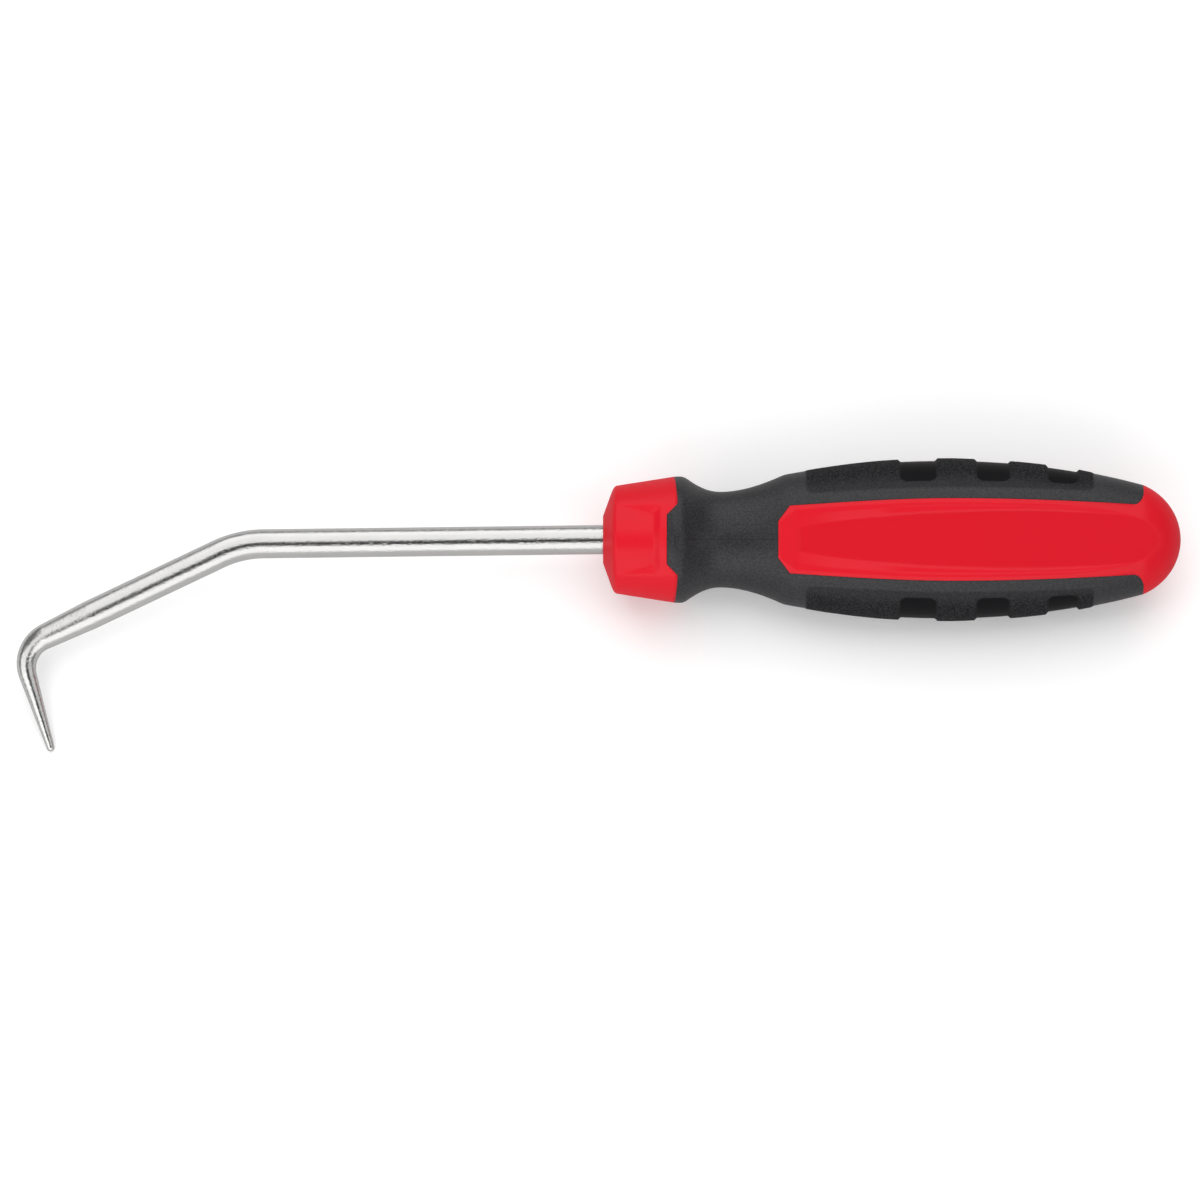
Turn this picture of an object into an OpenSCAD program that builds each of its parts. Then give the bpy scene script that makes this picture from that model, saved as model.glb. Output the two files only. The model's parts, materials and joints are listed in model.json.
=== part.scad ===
// Hose pick: a bent and tapered steel hook in a moulded two-material handle.
// The tool is drawn with +X from the nose of the collar to the butt, the hook reaching
// to -Y and the front panel facing +Z. It is then laid down on its back panel, its collar
// and the tip of the hook, which is how it comes to rest on a bench.

/* [Handle outline, seen from the front] */
// Length of the handle from the nose of the collar to the butt
handle_len = 125.6; // [122:0.1:140]
// Radius of the flat ring at the nose
nose_r = 5.4; // [4.6:0.1:7]
// Length of the nose cone
nose_len = 3; // [2:0.1:4]
// Radius of the collar where the nose cone ends
collar_front_r = 11.7; // [10.5:0.1:12.6]
// Radius of the collar at its crest
collar_r = 13.75; // [13:0.05:15]
// Distance of the crest from the nose
crest_x = 15.7; // [15:0.1:16.5]
// Radius of the waist behind the collar
waist_r = 10.4; // [9:0.1:11.5]
// Distance of the waist from the nose
waist_x = 25.4; // [24:0.1:28]
// Radius of the shoulder where the barrel begins
shoulder_r = 14.1; // [13:0.1:15]
// Distance of the shoulder from the nose
shoulder_x = 39.3; // [39:0.1:41]
// Largest radius of the barrel
belly_r = 17.3; // [16:0.1:19]
// Distance of the largest radius from the nose
belly_x = 76; // [72:0.5:80]
// Radius where the grip ends and the butt cap begins
cap_r = 11.9; // [11:0.1:13]
// Length of the butt cap
cap_len = 8.2; // [7:0.1:9]

/* [Handle section] */
// How much flatter the waist is than round, as a share of its radius
waist_flat = 0.09; // [0:0.01:0.14]
// How much flatter the barrel is than round, as a share of its radius
barrel_flat = 0.12; // [0.04:0.01:0.15]
// Thickness of the rubber over the core
grip_t = 1.8; // [1.2:0.1:2.4]

/* [Collar pockets] */
// Radius of the pocket floor
pocket_floor_r = 11.7; // [11:0.1:12.2]
// Distance of the foot of the riser from the nose
riser_x = 11; // [10:0.1:11.6]
// Axial length of the sloped riser
riser_len = 1.4; // [0.8:0.1:1.8]
// Distance of the rubber's edge from the nose on the panel faces
seam_x = 13.8; // [13.5:0.1:14.4]
// How much further back the rubber's edge lies on the sides
seam_step = 2.4; // [1.8:0.1:2.6]

/* [Panels] */
// Distance of the panel's front edge from the nose
panel_x = 38; // [37:0.1:38.4]
// Length of the panel's chamfered front corners
panel_corner = 2.5; // [1.5:0.1:3]
// Half width of the panel at its front
panel_front_w = 7.2; // [6.4:0.1:7.8]
// Half width of the panel at its widest
panel_mid_w = 8.95; // [8.2:0.05:9.4]
// Half width of the panel at its rear
panel_rear_w = 7.65; // [7:0.05:8]
// Width of the bevel between the panel's edge and its flat, at the front
bevel_front_w = 1.25; // [1:0.05:1.5]
// Width of the bevel from the belly on
bevel_w = 0.85; // [0.6:0.05:1.2]
// Depth of the field under the flat at its front
field_depth = 0.6; // [0.4:0.05:0.8]
// Depth of the field from the belly on
field_rear_depth = 0.35; // [0.2:0.05:0.5]
// Height of the field over the handle's axis where the butt cap begins
field_rear_h = 8.5; // [8.2:0.05:8.8]
// Width from the edge of the flat to the field, at the front
ledge_front_w = 4; // [3.6:0.1:4.2]
// Width from the edge of the flat to the field, from the belly on
ledge_w = 2.25; // [1.8:0.05:2.6]

/* [Grip pads] */
// Distance of the pads' front edge from the nose
pad_x = 44.1; // [44:0.1:46]
// Gap between the panel's edge and the pads
pad_gap = 2.8; // [2.2:0.1:3.2]
// Height of the pads over the rubber
pad_h = 0.45; // [0.2:0.05:0.6]
// Width of the pad between its edge and the windows
window_rim = 1.3; // [1:0.1:1.5]
// Number of windows in each pad
windows = 3; // [1:1:3]
// Distance of the first window from the nose
window_x = 64.4; // [62:0.1:65]
// Length of the first window
window_len = 8; // [7:0.1:8.4]
// How much shorter each further window is
window_less = 0.65; // [0:0.05:1]
// Gap between windows
window_gap = 8.4; // [7.6:0.1:8.8]
// Depth of the windows under the rubber
window_depth = 0.1; // [0:0.05:0.3]
// Length of the pad behind the last window
pad_tail = 3.3; // [2:0.1:3.6]

/* [Steel hook] */
// Diameter of the steel rod
shaft_d = 6.35; // [5:0.05:7.5]
// Length of the straight rod in front of the handle, to the corner of the first bend
shaft_len = 79; // [60:1:110]
// Angle between the handle's axis and the straight rod
shaft_droop = 0.7; // [0:0.1:2]
// Turn of the first bend
bend_deg = 24.7; // [15:0.1:35]
// Radius of the first bend along the rod's axis
bend_r = 23.5; // [15:0.5:35]
// Length of the arm between the corners of the two bends
arm_len = 53; // [40:0.5:70]
// Turn of the elbow
elbow_deg = 82.1; // [70:0.1:90]
// Radius of the elbow along the rod's axis
elbow_r = 7; // [6:0.1:9]
// Length of the leg from the corner of the elbow to the tip
leg_len = 23.4; // [18:0.1:30]
// Length of the taper in front of the elbow
taper_len = 11; // [6:0.5:16]
// Diameter where the elbow begins
elbow_in_d = 5.5; // [4.5:0.1:6]
// Diameter where the elbow ends
elbow_out_d = 3.9; // [3:0.1:4.4]
// Diameter of the rounded tip
tip_d = 1.7; // [1.2:0.1:2.4]

/* [Tang inside the handle] */
// Length of the rod inside the handle
tang_len = 84; // [60:1:100]
// Width across the swaged wings
wing_w = 10; // [8:0.5:12]
// Thickness of the swaged wings
wing_t = 1.8; // [1.2:0.1:2.4]
// Length of the swaged wings
wing_len = 16; // [10:1:20]

/* [Hidden] */

// Slopes of the outline where its curves meet
neck_in_slope = -0.72;
neck_out_slope = 0.46;
barrel_in_slope = 0.19;
barrel_out_slope = -0.27;
field_in_slope = -0.045;
field_out_slope = -0.12;
// The crest is level for this far, and is rounded into the neck over this far
crest_len = 1.4;
crest_edge_len = 1.5;
crest_drop_h = 0.75;
// The edge of the nose cone is rounded over this length and drop
nose_edge_len = 0.9;
nose_edge_h = 0.7;
// Half of the axial width of a pad's and a window's sloped sides
side_half_w = 0.15;
// How far the rubber's edge on the collar bows forward at the sides
seam_bow_len = 0.7;
// The panel's front edge is straight for this half width, and its field begins this far back
front_edge_w = 4;
field_start_len = 4.8;
// Width of the small wall round the field
field_wall_w = 0.6;
// Depth of the step from the flat to the ledge round the field
ledge_depth = 0.12;
// Where the field's wide front facets end, and where the ledges behind them begin
facet_end_x = 57;
ledge_start_x = 68;
// Columns of points from the middle of a panel to the silhouette, and all round
columns = 12;
around = 4 * columns;
// Columns that carry a feature
field_col = 1;
wall_col = 2;
rim_col = 3;
edge_col = 4;
pad_col = 6;
window_col = 8;

neck_x = crest_x + crest_len + crest_edge_len;
neck_r = collar_r - crest_drop_h;
strip_x = handle_len - cap_len;
strip_corner_len = 2.4;
panel_end_x = strip_x - strip_corner_len;
field_x = panel_x + field_start_len;
// The cap is the end of an ellipse that reaches this far back from the butt
cap_reach_len = 13.65;
cap_half_w = cap_r / sqrt(1 - pow((cap_reach_len - cap_len) / cap_reach_len, 2));
// The bevel and the field fade out over these lengths in front of the butt
bevel_fade_x = handle_len - 25;
bevel_end_x = handle_len - 15;
field_fade_x = handle_len - 20.5;
field_end_x = handle_len - 5;

// A smooth curve from (x0, y0) with slope m0 to (x1, y1) with slope m1
function curve(x, x0, y0, m0, x1, y1, m1) =
    let (l = x1 - x0, t = (x - x0) / l)
    y0 * (1 - 3 * t * t + 2 * t * t * t)
    + y1 * (3 * t * t - 2 * t * t * t)
    + m0 * l * t * (1 - t) * (1 - t)
    - m1 * l * t * t * (1 - t);
function span(a, b, n) = [for (k = [1 : n - 1]) a + (b - a) * k / n];

// Radius of the silhouette at a distance from the nose
function outline(x) =
    x < nose_len ? lookup(x, [[0, nose_r],
        [nose_len - nose_edge_len, collar_front_r - nose_edge_h], [nose_len, collar_front_r]])
    : x < crest_x ? lookup(x, [[nose_len, collar_front_r], [crest_x, collar_r]])
    : x < crest_x + crest_len ? collar_r
    : x < neck_x ? curve(x, crest_x + crest_len, collar_r, 0, neck_x, neck_r, neck_in_slope)
    : x < waist_x ? curve(x, neck_x, neck_r, neck_in_slope, waist_x, waist_r, 0)
    : x < shoulder_x ? curve(x, waist_x, waist_r, 0, shoulder_x, shoulder_r, neck_out_slope)
    : x < belly_x ? curve(x, shoulder_x, shoulder_r, barrel_in_slope, belly_x, belly_r, 0)
    : x < strip_x ? curve(x, belly_x, belly_r, 0, strip_x, cap_r, barrel_out_slope)
    : cap_half_w * sqrt(max(0, 1 - pow((x - handle_len + cap_reach_len) / cap_reach_len, 2)));

// How flat the section is: nought is round
function flatness(x) = lookup(x, [[crest_x, 0], [waist_x, waist_flat], [shoulder_x, barrel_flat]]);

// The section is a flattened round. s is the sine of the angle between the panel's normal
// and the surface's normal, and these are the distance from the middle and the height.
function side_of(s, k) = s * (1 + 2 * k - 2 * k * s * s);
function height_of(s, k) = let (c = sqrt(max(0, 1 - s * s))) c * (1 - 4 * k + 2 * k * c * c);
function sine_at(side, k, s, steps) =
    steps == 0 ? s
    : sine_at(side, k, s - (side_of(s, k) - side) / (1 + 2 * k - 6 * k * s * s), steps - 1);

// Half width of the panel, its flat and its field at a distance from the nose
function panel_w(x) =
    x < belly_x ? curve(x, panel_x, panel_front_w, 0.06, belly_x, panel_mid_w, 0)
    : curve(x, belly_x, panel_mid_w, 0, panel_end_x, panel_rear_w, -0.06);
function rim_w(x) =
    panel_w(x) - lookup(x, [[panel_x, bevel_front_w], [belly_x, bevel_w],
        [bevel_fade_x, bevel_w], [bevel_end_x, bevel_w / 2]]);
function field_w(x) =
    let (t = max(0, (x - field_fade_x) / (field_end_x - field_fade_x)))
    sqrt(max(0.1, 1 - t * t * t))
    * (rim_w(x) - lookup(x, [[field_x, ledge_front_w], [belly_x, ledge_w]]));

// Height of the plain section over the axis, at a distance from its middle
function plain_h(x, side) =
    let (r = outline(x), k = flatness(x))
    r * height_of(sine_at(side / r, k, side / r, 6), k);
// Height of the panel's flat. It lies between the bevels, and runs out of the plain section
// in front and into it in front of the butt.
function flat_h(x) =
    let (plain = lookup(x, [[panel_x, 1], [field_x, 0], [bevel_fade_x, 0], [bevel_end_x, 1]]))
    plain_h(x, 0) * plain + plain_h(x, rim_w(x)) * (1 - plain);
// Height of the field inside the flat. Behind the barrel it is cut level through the cap's dome.
function field_h(x) =
    x < bevel_fade_x ? flat_h(x) - lookup(x, [[panel_x + 1, 0], [field_x, field_depth],
        [facet_end_x, field_depth], [ledge_start_x, field_rear_depth]])
    : x < strip_x ? curve(x, bevel_fade_x, flat_h(bevel_fade_x) - field_rear_depth,
        field_in_slope, strip_x, field_rear_h, field_out_slope)
    : field_rear_h + field_out_slope * (x - strip_x) * (1 + (x - strip_x) / (field_end_x - strip_x));
// Height of the panel by column, before it is limited by the plain section
function panel_h(col, x) =
    col <= field_col ? field_h(x)
    : col == wall_col ? lookup(x, [[facet_end_x, 0], [ledge_start_x, 1]]) * (flat_h(x) - ledge_depth)
        + lookup(x, [[facet_end_x, 1], [ledge_start_x, 0]]) * field_h(x)
    : flat_h(x);

// Distance from the middle for each feature column along the barrel
function feature(col, x) =
    col == 0 ? 0
    : col == field_col ? field_w(x)
    : col == wall_col ? max(field_w(x) + field_wall_w, lookup(x, [[panel_x, front_edge_w],
        [field_x, 0]]))
    : col == rim_col ? rim_w(x)
    : col == edge_col ? panel_w(x)
    : col == edge_col + 1 ? panel_w(x) + pad_gap / 2
    : col == pad_col ? panel_w(x) + pad_gap - side_half_w
    : col == pad_col + 1 ? panel_w(x) + pad_gap + side_half_w
    : col == window_col ? panel_w(x) + pad_gap + window_rim - side_half_w
    : panel_w(x) + pad_gap + window_rim + side_half_w;
// The same columns on the collar and on the butt, as shares of the radius
collar_share = [0, 0.25, 0.48, 0.585, 0.66, 0.72, 0.78, 0.83, 0.88, 0.92];
butt_share = [0, 0.13, 0.26, 0.38, 0.5, 0.61, 0.71, 0.79, 0.87, 0.92];
function share(col, x) =
    x < panel_x ? lookup(x, [[crest_x + crest_len, collar_share[col]],
        [panel_x, feature(col, panel_x) / outline(panel_x)]])
    : x < panel_end_x ? feature(col, x) / outline(x)
    : lookup(x, [[panel_end_x, feature(col, panel_end_x) / outline(panel_end_x)],
        [handle_len, butt_share[col]]]);

function window_at(k) = window_x + k * (window_len + window_gap) - window_less * k * (k - 1) / 2;
function window_end(k) = window_at(k) + window_len - window_less * k;
pad_end = window_end(windows - 1) + pad_tail;

// Stations along the handle. Four of them are bent to follow an edge of the rubber or panel.
stations = concat(
    [0, nose_len - nose_edge_len, nose_len],
    span(nose_len, riser_x, 3),
    [riser_x, riser_x + riser_len],
    [seam_x, crest_x, crest_x + crest_len],
    span(crest_x + crest_len, neck_x, 2),
    [neck_x], span(neck_x, waist_x, 4),
    [waist_x], span(waist_x, panel_x, 6),
    [panel_x, panel_x + field_start_len / 3, field_x],
    [pad_x - side_half_w, pad_x + side_half_w],
    span(pad_x + side_half_w, window_x - side_half_w, 5),
    [for (k = [0 : windows - 1]) each concat(
        [window_at(k) - side_half_w, window_at(k) + side_half_w],
        [(window_at(k) + window_end(k)) / 2],
        [window_end(k) - side_half_w, window_end(k) + side_half_w],
        k < windows - 1 ? [window_end(k) + window_gap / 2] : [])],
    [pad_end - side_half_w, pad_end + side_half_w], span(pad_end + side_half_w, strip_x, 3),
    [strip_x, strip_x + cap_len / 7],
    [for (k = [2 : 6]) strip_x + cap_len * sin(90 * k / 7)],
    [handle_len - cap_len / 80]);
seam_row = search(seam_x, stations)[0];
crest_row = seam_row + 1;
panel_row = search(panel_x, stations)[0];
strip_row = search(strip_x, stations)[0];
last_row = len(stations) - 1;

// How far each bent station moves along the handle, by column
side_seam_x = seam_x + seam_step;
crest_side_x = (side_seam_x + crest_x + crest_len) / 2;
seam_shift = [for (col = [0 : columns]) col < rim_col ? 0
    : seam_step - seam_bow_len * (col - rim_col) / (columns - rim_col)];
crest_shift = [for (col = [0 : columns]) col < rim_col ? 0 : crest_side_x - crest_x];
front_shift = [for (col = [0 : columns]) panel_corner * (col < rim_col ? 0
    : col == rim_col ? 0.6 : max(0.5, 1 - (col - edge_col) / 5))];
rim_shift = front_shift * 0.8;
field_shift = front_shift * 0.15;
strip_shift = [for (col = [0 : columns]) col <= edge_col ? -strip_corner_len
    : col == edge_col + 1 ? -strip_corner_len * 0.45 : 0];
cap_shift = strip_shift / 2;
function bend_of(row, col) =
    row == seam_row ? seam_shift[col]
    : row == crest_row ? crest_shift[col]
    : row == panel_row ? front_shift[col]
    : row == panel_row + 1 ? rim_shift[col]
    : row == panel_row + 2 ? field_shift[col]
    : row == strip_row ? strip_shift[col]
    : row == strip_row + 1 ? cap_shift[col]
    : 0;

function in_window(x) =
    len([for (k = [0 : windows - 1]) if (x > window_at(k) && x < window_end(k)) k]) > 0;
// Height of the finished surface over the plain one
function relief(row, col) =
    let (x = stations[row])
    col <= wall_col && x > nose_len && x <= riser_x ? min(0, pocket_floor_r - outline(x))
    : col > window_col && in_window(x) ? -window_depth
    : col > pad_col && x > pad_x && x < pad_end ? (col == pad_col + 1 ? pad_h / 2 : pad_h)
    : 0;

// A point of the outer skin, and of the face between rubber and core under it
function skin(row, n, depth) =
    let (
        col = n <= columns ? n
            : n <= 2 * columns ? 2 * columns - n
            : n <= 3 * columns ? n - 2 * columns
            : around - n,
        side_sign = n <= 2 * columns ? 1 : -1,
        face_sign = n < columns || n > 3 * columns ? 1 : -1,
        x = stations[row] + bend_of(row, col),
        r = outline(x),
        k = flatness(x),
        last = window_col + 1,
        share_s = sine_at(share(min(col, last), x), k, share(min(col, last), x) / (1 + k), 6),
        s = col <= last ? share_s
            : sin(asin(share_s) + (90 - asin(share_s)) * (col - last) / (columns - last)),
        c = sqrt(max(0, 1 - s * s)),
        out = depth > 0 ? -depth : relief(row, col),
        round_h = r * height_of(s, k) + out * c,
        in_panel = depth == 0 && row >= panel_row && col < edge_col,
        h = in_panel ? min(round_h, panel_h(col, x)) : round_h
    )
    [x, side_sign * (r * side_of(s, k) + out * s), face_sign * h];

// Which cells of the skin are rubber
function is_rubber(row, n) =
    let (m = n % (2 * columns), col = m < columns ? m : 2 * columns - 1 - m)
    row >= seam_row && row < strip_row && (row < panel_row || col >= edge_col);

outer = [for (row = [0 : last_row], n = [0 : around - 1]) skin(row, n, 0)];
inner = [for (row = [0 : last_row], n = [0 : around - 1]) skin(row, n, grip_t)];
ends = [[0, 0, 0], [handle_len, 0, 0]];
skin_points = concat(outer, inner, ends);
function id(layer, row, n) = layer * len(outer) + row * around + n % around;
function quad(a, b, c, d) = [[a, c, b], [a, d, c]];
function cell(layer, row, n) =
    quad(id(layer, row, n), id(layer, row + 1, n), id(layer, row + 1, n + 1), id(layer, row, n + 1));
function turned(faces) = [for (f = faces) [f[0], f[2], f[1]]];
// The walls between rubber and core, seen from the core
seam_walls = [
    for (row = [0 : last_row - 1], n = [0 : around - 1])
        let (
            here = is_rubber(row, n),
            next = is_rubber(row, (n + 1) % around),
            back = row > 0 && is_rubber(row - 1, n)
        )
        each concat(
            here != next ? let (w = quad(id(0, row, n + 1), id(0, row + 1, n + 1),
                id(1, row + 1, n + 1), id(1, row, n + 1))) here ? turned(w) : w : [],
            here != back ? let (w = quad(id(0, row, n), id(0, row, n + 1),
                id(1, row, n + 1), id(1, row, n))) here ? turned(w) : w : [])
];
core_faces = concat(
    [for (row = [0 : last_row - 1], n = [0 : around - 1]) each cell(is_rubber(row, n) ? 1 : 0, row, n)],
    seam_walls,
    [for (n = [0 : around - 1]) [2 * len(outer), id(0, 0, n + 1), id(0, 0, n)]],
    [for (n = [0 : around - 1]) [2 * len(outer) + 1, id(0, last_row, n), id(0, last_row, n + 1)]]);
grip_faces = concat(
    [for (row = [0 : last_row - 1], n = [0 : around - 1]) if (is_rubber(row, n))
        each concat(cell(0, row, n), turned(cell(1, row, n)))],
    turned(seam_walls));

// Where the rod's bends begin and end, as lengths along it from the nose
bend_arc = bend_r * bend_deg * PI / 180;
elbow_arc = elbow_r * elbow_deg * PI / 180;
elbow_tangent = elbow_r * tan(elbow_deg / 2);
bend_tangent = bend_r * tan(bend_deg / 2);
bend_at = shaft_len - bend_tangent;
arm_at = bend_at + bend_arc;
elbow_at = arm_at + arm_len - bend_tangent - elbow_tangent;
leg_at = elbow_at + elbow_arc;
tip_at = leg_at + leg_len - elbow_tangent;
tip_r = tip_d / 2;
rod_sides = 32;
// The bent rod starts inside the straight one and is finer than it by this much
rod_lap = 1;
rod_fit = 0.015;

// Middle, heading and radius of the rod, by the length along it from the nose
function turned_by(v, a) = [v[0] * cos(a) - v[1] * sin(a), v[0] * sin(a) + v[1] * cos(a), v[2]];
function arc_point(r, a) = [r * sin(a), r * (1 - cos(a)), 0];
function heading(u) =
    max(0, min(bend_arc, u - bend_at)) * 180 / PI / bend_r
    + max(0, min(elbow_arc, u - elbow_at)) * 180 / PI / elbow_r;
arm_start = [bend_at, 0, 0] + arc_point(bend_r, bend_deg);
elbow_start = arm_start + turned_by([elbow_at - arm_at, 0, 0], bend_deg);
leg_start = elbow_start + turned_by(arc_point(elbow_r, elbow_deg), bend_deg);
function middle(u) =
    u < bend_at ? [u, 0, 0]
    : u < arm_at ? [bend_at, 0, 0] + arc_point(bend_r, heading(u))
    : u < elbow_at ? arm_start + turned_by([u - arm_at, 0, 0], bend_deg)
    : u < leg_at ? elbow_start + turned_by(arc_point(elbow_r, heading(u) - bend_deg), bend_deg)
    : leg_start + turned_by([u - leg_at, 0, 0], bend_deg + elbow_deg);
function rod_r(u) =
    u > tip_at - tip_r ? sqrt(max(0, tip_r * tip_r - pow(u - tip_at + tip_r, 2)))
    : lookup(u, [[elbow_at - taper_len, shaft_d / 2 - rod_fit], [elbow_at, elbow_in_d / 2],
        [leg_at, elbow_out_d / 2], [tip_at - tip_r, tip_r]]);
rings = concat(
    [bend_at - rod_lap],
    [for (k = [0 : 8]) bend_at + bend_arc * k / 8],
    [elbow_at - taper_len], span(elbow_at - taper_len, elbow_at, 3),
    [for (k = [0 : 12]) elbow_at + elbow_arc * k / 12],
    span(leg_at, tip_at - tip_r, 4),
    [for (k = [0 : 4]) tip_at - tip_r + tip_r * sin(90 * k / 5)]);
rod_points = concat(
    [for (u = rings, k = [0 : rod_sides - 1])
        let (a = 360 * k / rod_sides, h = heading(u), r = rod_r(u))
        middle(u) + [-r * cos(a) * sin(h), r * cos(a) * cos(h), r * sin(a)]],
    [middle(rings[0]), middle(tip_at)]);
ring_last = len(rings) - 1;
function ring_id(i, k) = i * rod_sides + k % rod_sides;
rod_faces = concat(
    [for (i = [0 : ring_last - 1], k = [0 : rod_sides - 1])
        each quad(ring_id(i, k), ring_id(i, k + 1), ring_id(i + 1, k + 1), ring_id(i + 1, k))],
    [for (k = [0 : rod_sides - 1]) [len(rod_points) - 2, ring_id(0, k), ring_id(0, k + 1)]],
    [for (k = [0 : rod_sides - 1])
        [len(rod_points) - 1, ring_id(ring_last, k + 1), ring_id(ring_last, k)]]);

// Where the elbow's centre and the tip's centre lie in the tool's axes
elbow_middle = turned_by(elbow_start + turned_by([0, elbow_r, 0], bend_deg), 180 + shaft_droop);
tip_middle = turned_by(middle(tip_at - tip_r), 180 + shaft_droop);

// The tool rests on its collar, on the edge of the back panel's flat and on the tip. down is
// the direction of the bench in the tool's own axes, found by a few steps of trial.
function unit(v) = v / norm(v);
panel_foot = [belly_x, -rim_w(belly_x), -flat_h(belly_x)];
function settle(down, steps) =
    steps == 0 ? down
    : let (
        collar_foot = [crest_x + crest_len / 2, 0, 0] + collar_r * unit([0, down[1], down[2]]),
        tip_foot = tip_middle + tip_r * down,
        plane = unit(cross(panel_foot - collar_foot, tip_foot - collar_foot))
    )
    settle(plane[2] < 0 ? plane : -plane, steps - 1);
down = settle(unit([0, -0.28, -1]), 8);
up_dir = -down;
along = unit([1, 0, 0] - up_dir[0] * up_dir);
across = cross(up_dir, along);
lean = asin(up_dir[1]);
side_reach = belly_r * (1 - barrel_flat + barrel_flat * cos(2 * lean)) + pad_h;
x_low = elbow_middle * along - elbow_r - (elbow_in_d + elbow_out_d) / 4;
x_high = handle_len * along[0];
y_low = tip_middle * across - tip_r;
y_high = belly_x * across[0] + side_reach;

module at_rest() {
    shift = [-(x_low + x_high) / 2, -(y_low + y_high) / 2, -(tip_middle * up_dir) + tip_r];
    multmatrix([
        [along[0], along[1], along[2], shift[0]],
        [across[0], across[1], across[2], shift[1]],
        [up_dir[0], up_dir[1], up_dir[2], shift[2]],
        [0, 0, 0, 1]])
        children();
}

// The rod's own axes: +X runs from the nose towards the first bend
module rod_axes() {
    rotate([0, 0, 180 + shaft_droop])
        children();
}

// Straight rod with its tang: a tapered end and four swaged wings that lock it in the core
module shank() {
    point_len = 2;
    wing_x = -tang_len + 6;
    rod_axes() {
        translate([-tang_len + point_len, 0, 0])
            rotate([0, 90, 0])
                cylinder(h = bend_at + tang_len - point_len, d = shaft_d, $fn = 64);
        translate([-tang_len, 0, 0])
            rotate([0, 90, 0])
                cylinder(h = point_len, d1 = shaft_d - 2 * point_len, d2 = shaft_d, $fn = 64);
        translate([wing_x, -wing_w / 2, -wing_t / 2])
            cube([wing_len, wing_w, wing_t]);
        translate([wing_x, -wing_t / 2, -wing_w / 2])
            cube([wing_len, wing_t, wing_w]);
    }
}

module hook_shaft() {
    color("silver")
        at_rest() {
            shank();
            rod_axes()
                polyhedron(points = rod_points, faces = rod_faces, convexity = 4);
        }
}

// Hard red moulding: collar, core under the rubber, both panels and butt cap
module handle_core() {
    color([0.86, 0.12, 0.18])
        at_rest()
            difference() {
                polyhedron(points = skin_points, faces = core_faces, convexity = 8);
                shank();
            }
}

// Soft black moulding: a ring round the neck and a padded strip on each side
module grip_overmould() {
    color([0.17, 0.17, 0.18])
        at_rest()
            polyhedron(points = skin_points, faces = grip_faces, convexity = 8);
}

hook_shaft();
handle_core();
grip_overmould();
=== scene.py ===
# A hose pick lying on a bench: a plated steel hook, a hard red handle moulded round the hook's
# tang, and a soft black grip moulded over the handle. Sizes are in millimetres along the tool's
# own axes: +X from the nose of the handle to its butt, +Y away from the hook, +Z out of the
# front panel. A name that ends in _x is a distance from the nose, _r a radius, _w a half width,
# _h a height and _at a distance along the bar. The frame's mounts say how the tool lies.
import json
import math
import bpy
import numpy as np
from mathutils import Matrix


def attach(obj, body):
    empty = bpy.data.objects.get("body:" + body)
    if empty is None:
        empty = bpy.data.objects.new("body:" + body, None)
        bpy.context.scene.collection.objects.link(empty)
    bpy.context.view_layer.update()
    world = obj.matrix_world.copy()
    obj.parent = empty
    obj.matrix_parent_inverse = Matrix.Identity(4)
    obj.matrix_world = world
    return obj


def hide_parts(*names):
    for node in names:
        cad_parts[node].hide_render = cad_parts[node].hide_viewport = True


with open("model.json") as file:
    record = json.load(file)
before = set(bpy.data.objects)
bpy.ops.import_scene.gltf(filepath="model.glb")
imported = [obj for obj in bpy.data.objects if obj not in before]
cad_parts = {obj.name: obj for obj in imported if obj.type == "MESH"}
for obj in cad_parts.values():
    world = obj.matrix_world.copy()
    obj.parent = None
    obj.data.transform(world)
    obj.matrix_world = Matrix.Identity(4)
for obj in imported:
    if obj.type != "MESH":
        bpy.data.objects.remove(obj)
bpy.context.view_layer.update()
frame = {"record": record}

# The hook is one 1/4 in steel bar, drawn straight, bent twice and ground to a rounded point,
# then plated and polished. Its straight end is a tang in the handle, and four swaged wings on
# the tang lock it there.
bar_r = 3.175
tang_len = 84
tang_point_len = 2
tang_point_share = 0.35
wing_reach = 5
wing_start = -78
wing_end = -62
wing_ramp = 1
wing_flank = (0.86, 0.96)
rod_droop = math.radians(0.7)
first_bend = math.radians(24.7)
first_bend_r = 23.5
first_corner = 79
arm_len = 53
elbow = math.radians(82.1)
elbow_r = 7
leg_len = 23.4
taper_len = 11
elbow_in_r = 2.75
elbow_out_r = 1.95
tip_r = 0.85
ring_step = 0.3
ring_sides = 72
round_rings = 7
last_cone_rings = 2
point_slack = 0.001
weld_gap = 0.002

bend_at = first_corner - first_bend_r * math.tan(first_bend / 2)
arm_at = bend_at + first_bend_r * first_bend
elbow_tangent = elbow_r * math.tan(elbow / 2)
elbow_at = arm_at + arm_len - (first_corner - bend_at) - elbow_tangent
leg_at = elbow_at + elbow_r * elbow
tip_at = leg_at + leg_len - elbow_tangent
cone_end = tip_at - (round_rings + last_cone_rings) * ring_step
point_at = tip_at - round_rings * ring_step


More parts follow.
